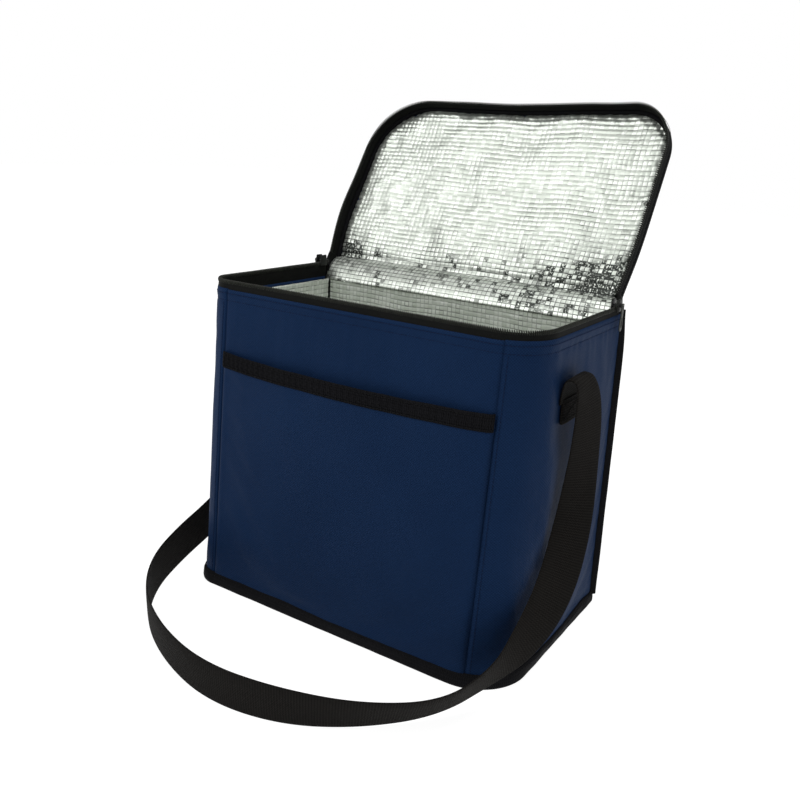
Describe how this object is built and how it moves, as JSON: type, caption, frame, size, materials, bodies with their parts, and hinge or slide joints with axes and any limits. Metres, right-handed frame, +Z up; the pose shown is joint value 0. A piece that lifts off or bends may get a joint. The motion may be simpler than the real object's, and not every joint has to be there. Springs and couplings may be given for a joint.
{
  "type": "insulated cooler bag",
  "caption": "Soft insulated box bag with a zipped lid hinged at the rear, foil lining, open front pocket and a webbing shoulder strap.",
  "frame": {"origin": "on the floor, under the middle of the bag's mouth, on the bottom panel", "axes": "+Z up; -Y is the front, the side with the pocket; +X is to the right of someone who looks at the front"},
  "size_m": [0.3619, 0.3774, 0.3998],
  "materials": {
    "navy_fabric": "woven polyester, matt with a soft sheen",
    "binding_tape": "black grosgrain binding tape",
    "webbing": "black ribbed webbing",
    "zipper_tape": "black woven zipper tape",
    "zipper_coil": "black nylon coil",
    "foil": "embossed aluminised film, bright",
    "foam": "white closed-cell foam",
    "board": "stiff plastic board",
    "zip_metal": "black enamelled zinc"
  },
  "bodies": {
    "bag": {"front_panel": "navy_fabric", "left_gusset": "navy_fabric", "right_gusset": "navy_fabric", "back_panel": "navy_fabric", "base_panel": "navy_fabric", "front_pocket": "navy_fabric", "rim_facing": "navy_fabric", "front_foam": "foam", "left_foam": "foam", "right_foam": "foam", "back_foam": "foam", "base_foam": "foam", "base_board": "board", "front_liner": "foil", "left_liner": "foil", "right_liner": "foil", "back_liner": "foil", "base_liner": "foil", "bottom_binding": "binding_tape", "rear_left_binding": "binding_tape", "rear_right_binding": "binding_tape", "hinge_strip": "binding_tape", "pocket_trim": "webbing", "strap_end_left": "webbing", "strap_end_right": "webbing", "shoulder_strap": "webbing", "body_zipper_tape": "zipper_tape", "body_zipper_coil": "zipper_coil", "zip_stop_left": "zip_metal", "zip_stop_right": "zip_metal"},
    "lid": {"lid_shell": "navy_fabric", "lid_foam": "foam", "lid_liner": "foil", "lid_binding": "binding_tape", "lid_zipper_tape": "zipper_tape", "lid_zipper_coil": "zipper_coil", "lid_hinge_flap": "binding_tape"},
    "slider_left": {"slider_left": "zip_metal"},
    "slider_right": {"slider_right": "zip_metal"},
    "pull_left": {"pull_left": "zip_metal"},
    "pull_right": {"pull_right": "zip_metal"}
  },
  "joints": [
    {"name": "lid_hinge", "type": "hinge", "parent": "bag", "child": "lid", "pos_m": [0, 0.079, 0.2605], "axis": [-1, 0, 0], "range_deg": [-117, 59]},
    {"name": "slider_left_travel", "type": "slide", "parent": "bag", "child": "slider_left", "axis": [0, -1, 0], "range_m": [0, 0.104]},
    {"name": "slider_right_travel", "type": "slide", "parent": "bag", "child": "slider_right", "axis": [0, -1, 0], "range_m": [0, 0.104]},
    {"name": "pull_left_swing", "type": "hinge", "parent": "slider_left", "child": "pull_left", "pos_m": [-0.1454, 0.066, 0.26055], "axis": [0, 1, 0], "range_deg": [0, 170]},
    {"name": "pull_right_swing", "type": "hinge", "parent": "slider_right", "child": "pull_right", "pos_m": [0.1454, 0.066, 0.26055], "axis": [0, -1, 0], "range_deg": [0, 170]}
  ]
}
